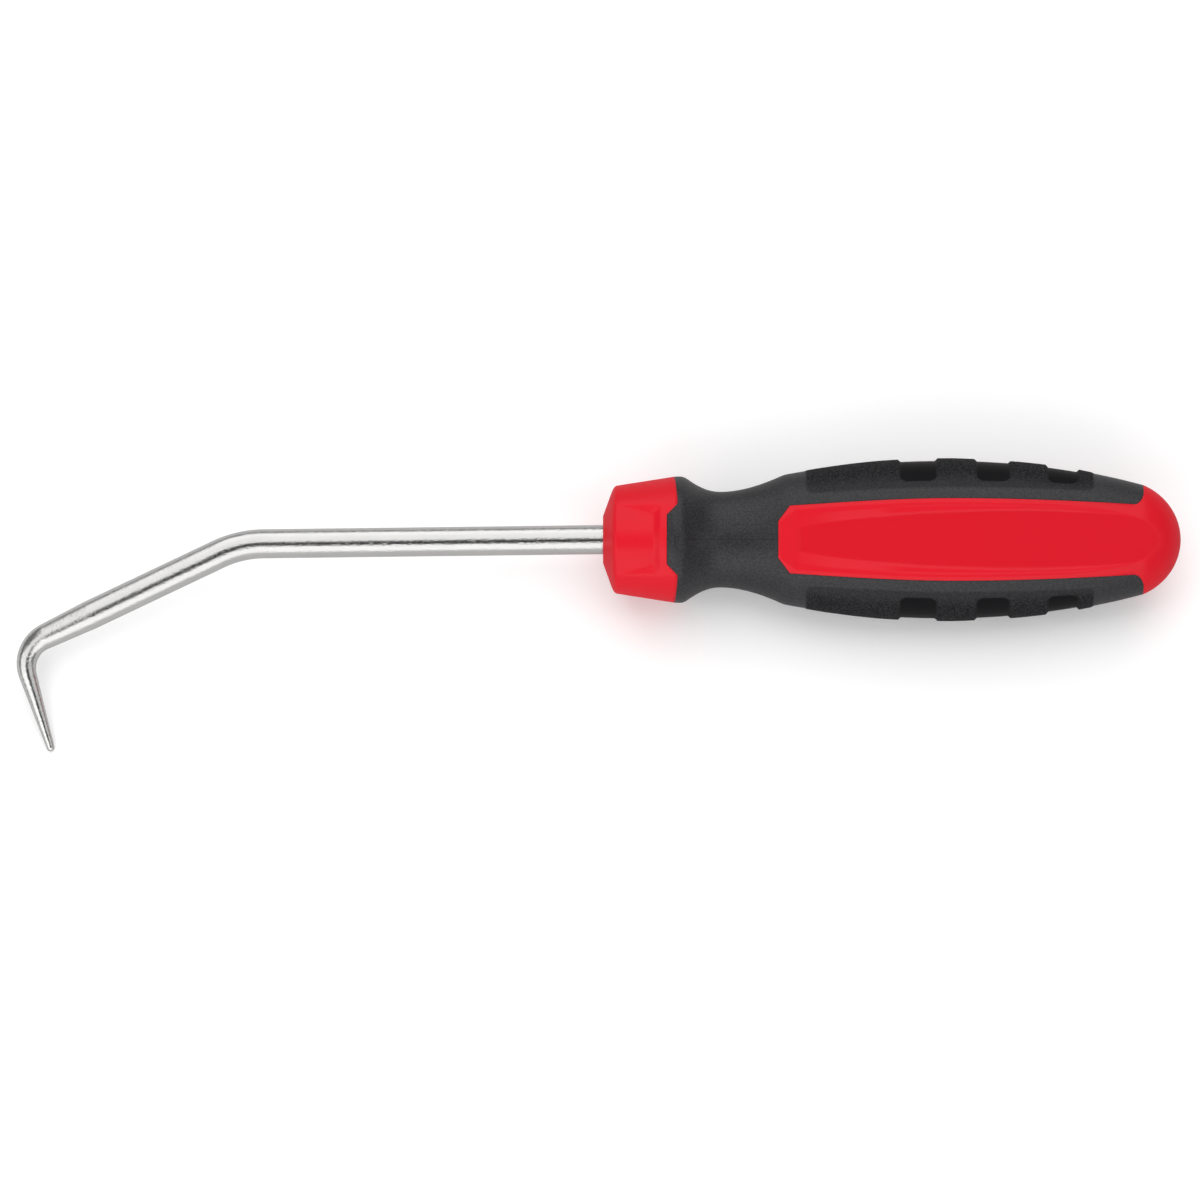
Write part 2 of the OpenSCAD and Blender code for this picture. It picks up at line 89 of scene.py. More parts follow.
class Wire:
    """A node's socket that Python's arithmetic works on. Each step adds its Math node."""

    def __init__(self, tree, socket=None):
        self.tree, self.socket = tree, socket

    def node(self, kind, settings=(), inputs=(), out=0):
        """Adds a node with its settings and the values or wires of its inputs, and gives the
        wire of one output."""
        made = self.tree.nodes.new(kind)
        for name, value in dict(settings).items():
            setattr(made, name, value)
        for name, value in dict(inputs).items():
            if isinstance(value, Wire):
                self.tree.links.new(value.socket, made.inputs[name])
            else:
                made.inputs[name].default_value = value
        return Wire(self.tree, made.outputs[out] if made.outputs else None)

    def math(self, operation, *others):
        values = dict(enumerate((self,) + others))
        return self.node("ShaderNodeMath", {"operation": operation}, values)

    def __add__(self, other):
        return self.math("ADD", other)

    __radd__ = __add__

    def __sub__(self, other):
        return self.math("SUBTRACT", other)

    def __rsub__(self, other):
        return self.node("ShaderNodeMath", {"operation": "SUBTRACT"}, {0: other, 1: self})

    def __mul__(self, other):
        return self.math("MULTIPLY", other)

    __rmul__ = __mul__

    def __truediv__(self, other):
        return self.math("DIVIDE", other)

    def within(self, low, high):
        return self.math("MAXIMUM", low).math("MINIMUM", high)

    def share(self, low, high):
        """Nought at low, one at high, straight between them and level beyond."""
        return ((self - low) / (high - low)).within(0, 1)

    def between(self, low, high):
        """The colour that lies at this share of the way from low to high."""
        colours = {"Factor": self, "A": low, "B": high}
        return self.node("ShaderNodeMix", {"data_type": "RGBA"}, colours, out=2)


def bar_tree():
    """A flat grid, one column for each side of the bar and one row for each ring, is rolled up
    and laid along the bar's bent axis."""
    tree = bpy.data.node_groups.new("Bent bar", "GeometryNodeTree")
    tree.interface.new_socket("Geometry", in_out="OUTPUT", socket_type="NodeSocketGeometry")
    for name in ("Bar radius", "Point radius", "Tang length", "Whole length"):
        tree.interface.new_socket(name, in_out="INPUT", socket_type="NodeSocketFloat")
    tree.interface.new_socket("Finish", in_out="INPUT", socket_type="NodeSocketMaterial")
    start = Wire(tree)
    given = start.node("NodeGroupInput").socket.node
    radius, point_r, tang, whole, finish = [Wire(tree, s) for s in given.outputs[:5]]
    rings = int((tang_len + tip_at) / ring_step) + 1
    grid = start.node("GeometryNodeMeshGrid", {}, {
        "Size X": 1, "Size Y": 1, "Vertices X": ring_sides + 1, "Vertices Y": rings})
    place = start.node("GeometryNodeInputPosition")
    split = place.node("ShaderNodeSeparateXYZ", {}, {0: place})
    column = split
    row = Wire(tree, split.socket.node.outputs[1])
    turn = (column + 0.5) * (2 * math.pi)
    along = (row + 0.5) * whole - tang
    # The last rings run on to the end of the cone and then go round the point.
    point_turn = along.share(point_at, tip_at - point_slack) * (math.pi / 2)
    along = (along.math("MINIMUM", cone_end) + (tip_at - tip_r - cone_end) * along.share(cone_end,
        point_at) + point_r * point_turn.math("SINE"))
    # The axis: straight to the first bend, then the arm, the elbow and the leg.
    bend = along.within(bend_at, arm_at) - bend_at
    curl = along.within(elbow_at, leg_at) - elbow_at
    bend_a = bend / first_bend_r
    curl_a = curl / elbow_r + first_bend
    heading = bend_a + curl / elbow_r
    arm = along.within(arm_at, elbow_at) - arm_at
    leg = along.math("MAXIMUM", leg_at) - leg_at
    ahead = along.math("MINIMUM", bend_at) + first_bend_r * bend_a.math("SINE")
    ahead = ahead + arm * math.cos(first_bend)
    ahead = ahead + elbow_r * (curl_a.math("SINE") - math.sin(first_bend))
    ahead = ahead + leg * math.cos(first_bend + elbow)
    aside = first_bend_r * (1 - bend_a.math("COSINE")) + arm * math.sin(first_bend)
    aside = aside + elbow_r * (math.cos(first_bend) - curl_a.math("COSINE"))
    aside = aside + leg * math.sin(first_bend + elbow)
    # The radius: tapered from in front of the elbow to the point, and blunt, with four wings, on
    # the tang.
    thick = radius - (bar_r - elbow_in_r) * along.share(elbow_at - taper_len, elbow_at)
    thick = thick - (elbow_in_r - elbow_out_r) * along.share(elbow_at, leg_at)
    thick = thick - (elbow_out_r - point_r) * along.share(leg_at, tip_at - tip_r)
    thick = thick * point_turn.math("COSINE")
    tang_point = along.share(-tang_len, tang_point_len - tang_len)
    thick = thick * (tang_point_share + (1 - tang_point_share) * tang_point)
    thick = thick * (along + tang).math("GREATER_THAN", ring_step / 3)
    cross = (turn * 2).math("COSINE").math("ABSOLUTE")
    blade = cross.share(*wing_flank) * along.share(wing_start, wing_start + wing_ramp)
    blade = blade * (1 - along.share(wing_end - wing_ramp, wing_end))
    thick = thick + blade * (wing_reach - bar_r)
    side = thick * turn.math("COSINE")
    up = thick * turn.math("SINE")
    spot = start.node("ShaderNodeCombineXYZ", {}, {
        "X": ahead - side * heading.math("SINE"),
        "Y": aside + side * heading.math("COSINE"),
        "Z": up})
    bar = start.node("GeometryNodeSetPosition", {}, {"Geometry": grid, "Position": spot})
    bar = bar.node("GeometryNodeMergeByDistance", {}, {"Geometry": bar, "Distance": weld_gap})
    bar = bar.node("GeometryNodeSetShadeSmooth", {}, {"Geometry": bar, "Shade Smooth": True})
    bar = bar.node("GeometryNodeRealizeInstances", {}, {"Geometry": bar})
    bar = bar.node("GeometryNodeSetMaterial", {}, {"Geometry": bar, "Material": finish})
    bar.node("NodeGroupOutput", {}, {"Geometry": bar})
    return tree


def new_finish(name):
    """A new material, with the place where its expressions start and its shader."""
    finish = bpy.data.materials.new(name)
    finish.use_nodes = True
    tree = finish.node_tree
    return finish, Wire(tree), tree.nodes["Principled BSDF"]


def finish_links(start, shader, **made):
    """Links what varies over a surface to the shader's own sockets."""
    for name, value in made.items():
        start.tree.links.new(value.socket, shader.inputs[name.replace("_", " ")])


# How the tool lies: the shank mount is at the middle of the straight bar and points to the
# first bend, and the mount at the tip lies in the hook's plane too. The frame is in metres.
mm = 0.001
mounts = {mount["name"]: mount for mount in frame["record"]["mounts"]}
bar_axis = np.array(mounts["shank"]["axis"])
tool_z = np.cross(bar_axis, mounts["hook_tip"]["axis"])
tool_z /= np.linalg.norm(tool_z)
bar_side = np.cross(tool_z, bar_axis)
tool_x = -math.cos(rod_droop) * bar_axis + math.sin(rod_droop) * bar_side
tool_x /= np.linalg.norm(tool_x)
tool_y = np.cross(tool_z, tool_x)
nose = np.array(mounts["shank"]["pos_m"]) - bar_axis * bend_at / 2 * mm
lie = Matrix(np.vstack([np.column_stack([tool_x, tool_y, tool_z, nose / mm]), [0, 0, 0, 1]]))
lie = Matrix.Scale(mm, 4) @ lie


def plated_steel():
    """Bright plate over a bar that keeps fine drawing lines and a slightly uneven polish."""
    finish, start, shader = new_finish("plated_steel")
    place = start.node("ShaderNodeTexCoord", out="Object")
    drawn = start.node("ShaderNodeMapping", {}, {
        "Vector": place, "Rotation": (0, 0, -rod_droop), "Scale": (900, 2600, 2600)})
    lines = start.node("ShaderNodeTexNoise", {}, {"Vector": drawn, "Scale": 1, "Detail": 3})
    grit = start.node("ShaderNodeTexNoise", {}, {"Vector": place, "Scale": 2400, "Detail": 4})
    cloud = start.node("ShaderNodeTexNoise", {}, {"Vector": place, "Scale": 140, "Detail": 3})
    tone = cloud.between((0.56, 0.557, 0.555, 1), (0.64, 0.632, 0.62, 1))
    rough = 0.12 + 0.09 * grit + 0.04 * cloud
    height = 0.35 * lines + 0.65 * grit
    bump = start.node("ShaderNodeBump", {}, {
        "Height": height, "Strength": 0.8, "Distance": 0.0001})
    finish_links(start, shader, Base_Color=tone, Roughness=rough, Normal=bump)
    shader.inputs["Metallic"].default_value = 1
    return finish


bar_mesh = bpy.data.meshes.new("bar")
bar_maker = bpy.data.objects.new("bar_maker", bar_mesh)
bpy.context.collection.objects.link(bar_maker)
rolling = bar_maker.modifiers.new("Bent bar", "NODES")
rolling.node_group = bar_tree()
sizes = {"Bar radius": bar_r, "Point radius": tip_r, "Tang length": tang_len,
    "Whole length": tang_len + tip_at, "Finish": plated_steel()}
for socket in rolling.node_group.interface.items_tree:
    if socket.in_out == "INPUT":
        rolling[socket.identifier] = sizes[socket.name]
ready = bar_maker.evaluated_get(bpy.context.evaluated_depsgraph_get())
hook = bpy.data.objects.new("steel_hook", bpy.data.meshes.new_from_object(ready))
bpy.data.objects.remove(bar_maker)
bpy.context.collection.objects.link(hook)
hook.data.transform(lie @ Matrix.Rotation(math.pi + rod_droop, 4, "Z"))
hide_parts("hook_shaft")
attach(hook, "root")


# The handle is one hard red moulding, shot round the tang: a round collar with a pocket in its
# front and back, a core under the grip, two panels with a sunk field, and a domed butt. Its outer
# skin and the grip's are one surface, which the seam between the two colours divides.
handle_len = 125.6
nose_r = 5.1
nose_len = 2.35
collar_front_r = 11.65
collar_r = 13.75
pocket_r = 11.7
pocket_wall_w = 7.75
riser_x = 11
riser_end = 12.2
lip_r = 12.75
pocket_end = 16
crest_x = 15.7
crest_end = 17.1
neck_x = 18.6
neck_r = 13
neck_slope = -0.72
waist_x = 25.4
waist_r = 10.4
shoulder_x = 39.3
shoulder_r = 14.1
shoulder_slope = 0.46
barrel_slope = 0.19
belly_x = 76
belly_r = 17.3
strip_x = 117.4
cap_r = 11.9
cap_slope = -0.27
dome_len = 13.65
waist_flat = 0.09
barrel_flat = 0.12
outline_round = 0.55
grip_t = 1.8
seam_x = 13.8
seam_step = 2.35
panel_x = 38
panel_end = 115
panel_corner = 2.5
strip_corner = 2.4
strip_corner_w = 10.5
strip_corner_run = 2.86
panel_front_w = 7.2
panel_belly_w = 8.95
panel_end_w = 7.65
panel_spread = 0.06
front_flat_w = 3.4
rim_inset = 0.75
rim_close_x = 96
flat_end = 100
edge_blend = 0.08
field_wall_x = 42
field_x = 43.2
field_step = 0.3
field_dip = 0.38
field_dip_x = 53
field_rise = 0.33
field_flat_x = 90
field_fall = 0.0843
field_curl = 0.045
field_close_x = 112
field_end = 120.65
ledge_x = 57
ledge_full_x = 68
ledge_fade_x = 104
ledge_drop = 0.1
facet_w = 0.55
facet_narrowest = 0.6
pad_x = 44.1
pad_end = 106.5
pad_gap = 2.4
pad_corner = 1.6
pad_inner_share = 0.35
stipple_inner_share = 0.45
window_rim = 1.4
window_soft = 0.2
window_edges = ((64.4, 72.4), (81, 88.3), (96.5, 103.2))
window_corner = 1.6
parting_depth = 0.04
edge_soft = 0.3


def curve(x, x0, y0, m0, x1, y1, m1):
    """A smooth curve from (x0, y0) with slope m0 to (x1, y1) with slope m1."""
    reach = x1 - x0
    t = (x - x0) / reach
    return (y0 * (1 - 3 * t**2 + 2 * t**3) + y1 * (3 * t**2 - 2 * t**3)
        + m0 * reach * t * (1 - t)**2 - m1 * reach * t**2 * (1 - t))


def ease(x, low, high):
    """Nought below low, one above high and smooth between them."""
    t = np.clip((x - low) / (high - low), 0, 1)
    return t * t * (3 - 2 * t)


def lower_of(a, b, blend):
    """The lower of two heights, with the edge where they meet rounded."""
    t = np.clip(0.5 + 0.5 * (b - a) / blend, 0, 1)
    return b + (a - b) * t - blend * t * (1 - t)


def sharp_outline(x):
    """Radius of the handle's silhouette at each distance from the nose."""
    dome = np.sqrt(np.clip(1 - ((x - handle_len + dome_len) / dome_len)**2, 0, 1))
    dome_r = cap_r / math.sqrt(1 - ((strip_x - handle_len + dome_len) / dome_len)**2)
    return np.select(
        [x < crest_x, x < crest_end, x < neck_x, x < waist_x, x < shoulder_x, x < belly_x,
            x < strip_x],
        [np.interp(x, (0, nose_len, crest_x), (nose_r, collar_front_r, collar_r)),
            collar_r,
            curve(x, crest_end, collar_r, 0, neck_x, neck_r, neck_slope),
            curve(x, neck_x, neck_r, neck_slope, waist_x, waist_r, 0),
            curve(x, waist_x, waist_r, 0, shoulder_x, shoulder_r, shoulder_slope),
            curve(x, shoulder_x, shoulder_r, barrel_slope, belly_x, belly_r, 0),
            curve(x, belly_x, belly_r, 0, strip_x, cap_r, cap_slope)],
        dome_r * dome)


def outline(x):
    """The same with its corners rounded, from the nose's mouth to the front of the pads."""
    reach = outline_round * ease(x, 0.2, 2) * (1 - ease(x, 41, 44))
    steps = np.linspace(-1, 1, 9)
    return sum(sharp_outline(x + reach * step) for step in steps) / len(steps)


def flatness(x):
    """How much flatter than round the section is, front to back, at each distance."""
    return np.interp(x, (crest_x, waist_x, shoulder_x), (0, waist_flat, barrel_flat))


def side_of(s, k):
    """Distance from the middle, as a share of the radius, where the surface's normal leans
    sideways by the angle whose sine is s. k is the section's flatness."""
    return s * (1 + 2 * k - 2 * k * s * s)


def height_of(s, k):
    """Height at the same place, as a share of the radius."""
    c = np.sqrt(np.clip(1 - s * s, 0, 1))
    return c * (1 - 4 * k + 2 * k * c * c)


def sine_at(side, k):
    """The sine of the lean at a distance from the middle, which undoes side_of."""
    s = side / (1 + k)
    for step in range(6):
        s = s - (side_of(s, k) - side) / (1 + 2 * k - 6 * k * s * s)
    return np.clip(s, 0, 1)


def plain_h(x, side):
    """Height of the plain section, with no panel cut in it."""
    r, k = outline(x), flatness(x)
    return r * height_of(sine_at(np.clip(side / np.maximum(r, 0.01), 0, 1), k), k)


def panel_w(x):
    """Half width of the panel, out to the seam with the grip."""
    return np.where(x < belly_x,
        curve(x, panel_x, panel_front_w, panel_spread, belly_x, panel_belly_w, 0),
        curve(x, belly_x, panel_belly_w, 0, panel_end, panel_end_w, -panel_spread))


def rim_w(x):
    """Half width of the panel's flat, which ends where it meets the plain section behind."""
    return np.where(x < rim_close_x, panel_w(x) - rim_inset,
        np.interp(x, (rim_close_x, 100.6, 104, 106.6, 110, 113.7, panel_end),
            (7.83, 7.6, 7.3, 7, 6.4, 5.65, 5.5)))


def ledge_w(x):
    """Half width inside the rim, whose top is a narrow flat."""
    return rim_w(x) - np.interp(x, (field_x, 47, 64, rim_close_x, 106, 113.7),
        (1.5, 1.1, 0.9, 0.85, 0.55, 0.2))


def field_w(x):
    """Half width of the sunk field, which closes in an arc at the butt."""
    wide = np.interp(x, (panel_x, field_x, 47.4, 52.9, 58.5, 64, 70, 85, 96, 106.6, 110, 113.7),
        (2.4, 2.6, 3.45, 4.15, 4.7, 5.15, 5.6, 6.1, 6.1, 5.6, 5.35, 5.15))
    closing = np.clip((x - field_close_x) / (field_end - field_close_x), 0, 1)
    return wide * np.sqrt(np.clip(1 - closing**2.2, 0.004, 1))


def front_flat_h(x):
    """Height of the panel's flat, which is cut flush with the plain section at its edges. In
    front of the field it slopes up a little towards the neck."""
    plain = 1 - ease(x, panel_x, panel_x + 0.5)
    slope = np.clip((x - panel_x) / (field_wall_x - panel_x), 0, 1)
    flat = plain_h(x, rim_w(x)) * slope + plain_h(x, front_flat_w + 0 * x) * (1 - slope)
    return plain_h(x, 0 * x) * plain + flat * (1 - plain)


def field_h(x):
    """Height of the sunk field, which is deepest near its front and falls towards the butt."""
    front = front_flat_h(np.minimum(x, field_flat_x))
    front = front - field_step * ease(x, field_wall_x, field_x)
    front = front - field_dip * ease(x, field_x, field_dip_x)
    front = front + field_rise * ease(x, ledge_x, ledge_full_x)
    behind = np.maximum(x - field_flat_x, 0)
    past = np.maximum(x - strip_x, 0)
    return front - field_fall * behind - field_curl * past**2


def flat_h(x):
    """Height of the flat round the field. Near the butt it never falls below the field."""
    return np.where(x < flat_end, front_flat_h(x), np.maximum(front_flat_h(x), field_h(x)))


# Lines along the handle that its features follow, from the middle of a panel to the side: the
# half width of each on the collar and on the barrel, and its share of the radius at the butt.
# line_cells is the number of faces between each line and the next.
line_step = 0.1
line_x = np.linspace(0, handle_len, round(handle_len / line_step) + 1)
line_r = np.maximum(outline(line_x), 1)
pocket_w = np.interp(line_x, (nose_len, riser_x, riser_end, 15), (7.55, 6.3, 6.45, 7.6))
lines = [
    (0, 0, 0),
    (2.2, field_w(line_x), 0.13),
    (pocket_w, np.minimum(field_w(line_x) + 0.55, ledge_w(line_x) - 0.1), 0.27),
    (7.7, ledge_w(line_x), 0.40),
    (8.1, ledge_w(line_x) + np.minimum(0.22, (rim_w(line_x) - ledge_w(line_x)) / 2), 0.42),
    (8.9, rim_w(line_x), 0.47),
    (9.7, panel_w(line_x), 0.52),
    (10, panel_w(line_x) + 0.25, 0.55),
    (10.6, panel_w(line_x) + pad_gap - edge_soft, 0.73),
    (10.8, panel_w(line_x) + pad_gap + edge_soft, 0.78),
    (11.2, panel_w(line_x) + pad_gap + window_rim - window_soft, 0.85),
    (11.5, panel_w(line_x) + pad_gap + window_rim + window_soft, 0.88)]
edge_line = 6
pad_line = 8.5
window_line = 10.5
side_line = len(lines)
line_cells = (18, 3, 4, 1, 3, 4, 1, 8, 3, 4, 3, 30)
nose_line_r = 12


def line_share(collar_side, barrel_side, butt_share):
    """A line's distance from the middle along the whole handle, as a share of the radius."""
    collar = collar_side / np.where(line_x < nose_len, nose_line_r, line_r)
    barrel = barrel_side / line_r + 0 * line_x
    at_panel = np.interp(panel_x, line_x, barrel)
    at_crest = np.interp(crest_end, line_x, collar + 0 * line_x)
    at_end = np.interp(panel_end, line_x, barrel)
    neck = at_crest + (at_panel - at_crest) * ease(line_x, crest_end, panel_x)
    butt = at_end + (butt_share - at_end) * ease(line_x, panel_end, handle_len)
    return np.select([line_x < crest_end, line_x < panel_x, line_x < panel_end],
        [collar, neck, barrel], butt)


line_shares = [line_share(*line) for line in lines]


def lean_of(x, column):
    """Sine of the lean of the surface's normal at a column, which is counted in lines."""
    k = flatness(x)
    angles = [np.arcsin(sine_at(np.interp(x, line_x, share), k)) for share in line_shares]
    angles.append(0 * x + math.pi / 2)
    inner = np.clip(column.astype(int), 0, side_line - 1)
    part = column - inner
    sides = [np.interp(x, line_x, share) for share in line_shares]
    low = np.choose(inner, sides)
    high = np.choose(np.minimum(inner + 1, side_line - 1), sides)
    panel_s = sine_at(low + (high - low) * part, k)
    last = angles[side_line - 1]
    side_s = np.sin(last + (math.pi / 2 - last) * part)
    return np.where(inner == side_line - 1, side_s, panel_s)


def bent(station, side):
    """How far a row moves along the handle to follow the seam and the panel's corners. Rows on
    both sides of each move less and less."""
    seam = np.interp(side, (6.1, 7.7, 8.5, 10.4, 12.4, 13.7), (0, 2.3, seam_step, 2.18, 1.96, 1.69))
    front = np.interp(side, (4, 7.3, 13.6), (0, panel_corner, 1.2))
    corner = np.clip((strip_corner_w - side) / strip_corner_run, 0, 1)
    rear = -strip_corner * (1 - np.sqrt(1 - corner**2))
    return (seam * np.interp(station, (riser_end, seam_x, crest_end), (0, 1, 0))
        + front * np.interp(station, (35, panel_x, field_x), (0, 1, 0))
        + rear * np.interp(station, (108, strip_x, 122), (0, 1, 0)))


def pocket_depth(x, side):
    """The collar's front and back are cut down to a lower round, which ends in a stepped riser
    and a lip that climbs to the crest. Slanted walls close the cut at its sides."""
    floor = np.interp(x, (nose_len, riser_x, 11.35, 11.75, riser_end, 15.6),
        (collar_front_r, pocket_r, 12.1, 12.2, lip_r, collar_r))
    depth = np.maximum(outline(x) - floor, 0) * (x > nose_len) * (x < pocket_end)
    floor_w = np.interp(x, line_x, pocket_w)
    return depth * (1 - np.clip((side - floor_w) / (pocket_wall_w - floor_w), 0, 1))


def in_box(along, across, middle, half, corner):
    """One inside a box with round corners that starts at across = 0, and nought outside it."""
    out_x = np.abs(along - middle) - half + corner
    out_y = corner - across
    gap = np.hypot(np.maximum(out_x, 0), np.maximum(out_y, 0))
    gap = gap + np.minimum(np.maximum(out_x, out_y), 0) - corner
    return 1 - ease(gap, -edge_soft, edge_soft)


def panel_h(x, column):
    """Height of the panel's surface before the plain section limits it. Slanted facets beside
    the front of the field give way to a ledge and a steep wall farther back."""
    flat, field = flat_h(x), field_h(x)
    ledge = ease(x, ledge_x, ledge_full_x)
    ledge_step = ledge_drop * ledge * (1 - ease(x, ledge_fade_x, field_close_x))
    facet = facet_w / np.maximum(ledge_w(x) - field_w(x), facet_narrowest)
    facet_h = field + (flat - field) * np.minimum(facet, 1)
    step_h = ledge * (flat - ledge_step) + (1 - ledge) * facet_h
    heights = [field, field, step_h, flat - ledge_step, flat, flat, flat]
    inner = np.clip(column.astype(int), 0, edge_line - 1)
    part = np.clip(column - inner, 0, 1)
    return np.choose(inner, heights) * (1 - part) + np.choose(inner + 1, heights) * part


def fine(anchors, step):
    """Anchors with evenly spaced values between them, and where the anchors are."""
    values, places = [anchors[0]], [0]
    for a, b in zip(anchors, anchors[1:]):
        cells = max(1, round((b - a) / step))
        values += [a + (b - a) * (k + 1) / cells for k in range(cells)]
        places.append(len(values) - 1)
    return np.array(values), places


row_step = 0.3
cap_rows = 35
cap_anchor = 12
anchors = [0, 0.9, 1.7, nose_len, 3, 4, riser_x, 11.4, 11.8, riser_end, seam_x, 15.6, crest_end,
    neck_x, waist_x, panel_x, panel_x + 0.5, field_wall_x, field_x]
for edge in (pad_x,) + sum(window_edges, ()) + (pad_end,):
    anchors += [edge - edge_soft, edge + edge_soft]
anchors.append(strip_x)
stations, station_anchors = fine(anchors, row_step)
cap_turns = np.linspace(0, math.pi / 2, cap_rows + 1)[1:-1]
stations = np.append(stations, strip_x + (handle_len - strip_x) * np.sin(cap_turns))
station_anchors += [station_anchors[-1] + cap_anchor, len(stations) - 1]
seam_row = station_anchors[anchors.index(seam_x)]
panel_row = station_anchors[anchors.index(panel_x)]
strip_row = station_anchors[anchors.index(strip_x)]

columns = np.concatenate([[0]] + [i + np.arange(1, n + 1) / n for i, n in enumerate(line_cells)])
edge_column = int(sum(line_cells[:edge_line]))
quarter = len(columns) - 1
around = 4 * quarter
column_anchors = np.concatenate([[0], np.cumsum(line_cells)])

# Each point of a quarter of the skin: its distance x from the nose, its distance side from the
# middle and its height. s and c are the sine and cosine of the normal's lean, k the section's
# flatness and r its radius.
station = stations[:, None] + 0 * columns[None, :]
column = columns[None, :] + 0 * station
x = station
for step in range(4):
    side = outline(x) * side_of(lean_of(x, column), flatness(x))
    x = station + bent(station, side)
s, k, r = lean_of(x, column), flatness(x), outline(x)
c = np.sqrt(1 - s * s)
side = r * side_of(s, k)
angle = np.arcsin(s)
pad_start = np.arcsin(lean_of(x, 0 * column + pad_line))
window_start = np.arcsin(lean_of(x, 0 * column + window_line))
pad = in_box(x, r * (angle - pad_start), (pad_x + pad_end) / 2, (pad_end - pad_x) / 2, pad_corner)
window = 0 * x
for start, end in window_edges:
    window = window + in_box(x, r * (angle - window_start), (start + end) / 2,
        (end - start) / 2, window_corner)
pad_h = np.interp(x, (pad_x, 46, 50, 56, 60, belly_x, 80, 89, 104, pad_end),
    (0.12, 0.17, 0.23, 0.34, 0.41, 0.43, 0.33, 0.27, 0.26, 0.2))
pad_h = pad_h * (pad_inner_share + (1 - pad_inner_share) * ease(angle, 0.7, 1.3))
window_depth = np.interp(x, (68, 85, 100), (0.14, 0.25, 0.34))
lift = pad * (pad_h * (1 - window) - window_depth * window) - pocket_depth(x, side)
stipple_share = stipple_inner_share + (1 - stipple_inner_share) * ease(angle, 0.64, 0.92)
stippled = pad * (1 - window) * stipple_share
parting = (column == 0) * ease(x, crest_end, neck_x) * (1 - ease(x, panel_x - 0.6, panel_x))
lift = lift - parting_depth * parting
height = r * height_of(s, k) + lift * c
row = np.arange(len(stations))[:, None] + 0 * station
in_panel = (row >= panel_row) & (column < edge_line)
height = np.where(in_panel, lower_of(height, panel_h(x, column), edge_blend), height)
side = side + lift * s
field = in_panel * (1 - ease(column, 0.9, 1.3)) * ease(x, field_wall_x, field_x)
field = field * ease(plain_h(x, side) - height, 0, edge_blend)
hidden_side = r * side_of(s, k) - grip_t * s
hidden_height = r * height_of(s, k) - grip_t * c


def all_round(quadrant, mirror_side=1, mirror_face=1):
    """A quarter of the handle's section, mirrored across the hook's plane and across the
    panels' middle plane."""
    half = np.concatenate([quadrant, mirror_face * quadrant[:, -2::-1]], axis=1)
    return np.concatenate([half[:, :-1], mirror_side * half[:, :0:-1]], axis=1)


def skin(x, side, height):
    """The whole surface from a quarter of it, as rows of points in the tool's axes."""
    return np.stack([all_round(x), all_round(side, -1, 1), all_round(height, 1, -1)], axis=-1)


outer = skin(x, side, height)
hidden = skin(x, hidden_side, hidden_height)
coarse_columns = np.concatenate([q * quarter + column_anchors[:-1] if q % 2 == 0
    else (q + 1) * quarter - column_anchors[:0:-1] for q in range(4)])
coarse_columns = np.append(coarse_columns, around)
cell_column = np.minimum(np.arange(around) % (2 * quarter), 2 * quarter - 1 - np.arange(around)
    % (2 * quarter))
rows = np.arange(len(stations) - 1)
is_grip = ((rows[:, None] >= seam_row) & (rows[:, None] < strip_row)
    & ((rows[:, None] < panel_row) | (cell_column[None, :] >= edge_column)))


def cells_of(mask):
    """Four-sided faces of the outer skin where the mask says so."""
    i, n = np.nonzero(mask)
    after = (n + 1) % around
    face = [i * around + n, (i + 1) * around + n, (i + 1) * around + after, i * around + after]
    return np.stack(face, axis=-1).tolist()


def seam_faces(hidden_id):
    """The wide faces under the grip, and the walls of the seam, both seen from the core."""
    floor, walls = [], []

    def wall(outside, a, b, flip):
        middle = (len(outside) - 1) // 2
        fan = [(outside[i + 1], outside[i], a if i < middle else b)
            for i in range(len(outside) - 1)]
        fan.append((outside[middle], a, b))
        walls.extend([f[::-1] if flip else f for f in fan])

    for i in range(len(station_anchors) - 1):
        r0, r1 = station_anchors[i], station_anchors[i + 1]
        for j in range(len(coarse_columns) - 1):
            n0, n1 = coarse_columns[j], coarse_columns[j + 1]
            here = is_grip[r0, n0]
            if here:
                floor.append((hidden_id(i, j), hidden_id(i + 1, j), hidden_id(i + 1, j + 1),
                    hidden_id(i, j + 1)))
            if here != is_grip[r0, n1 % around]:
                line = [q * around + n1 % around for q in range(r0, r1 + 1)]
                wall(line, hidden_id(i, j + 1), hidden_id(i + 1, j + 1), not here)
            if i > 0 and here != is_grip[r0 - 1, n0]:
                line = [r0 * around + q % around for q in range(n0, n1 + 1)]
                wall(line, hidden_id(i, j), hidden_id(i, j + 1), not here)
    return floor, walls


def moulding(name, points, faces, finish, **masks):
    """A moulded piece from points in the tool's axes, with a mask attribute for each surface
    that is grained or polished in its own way, or painted darker as painted shade."""
    mesh = bpy.data.meshes.new(name)
    mesh.from_pydata(points.tolist(), [], faces)
    for mask_name, values in masks.items():
        mask = mesh.attributes.new(mask_name, "FLOAT", "POINT")
        mask.data.foreach_set("value", np.resize(values, len(points)).astype(np.float32))
    piece = bpy.data.objects.new(name, mesh)
    bpy.context.collection.objects.link(piece)
    mesh.transform(lie)
    mesh.materials.append(finish)
    mesh.shade_smooth()
    return piece


def mask_of(start, name):
    """A mask that the mesh carries as an attribute."""
    return start.node("ShaderNodeAttribute", {"attribute_name": name}, out="Fac")


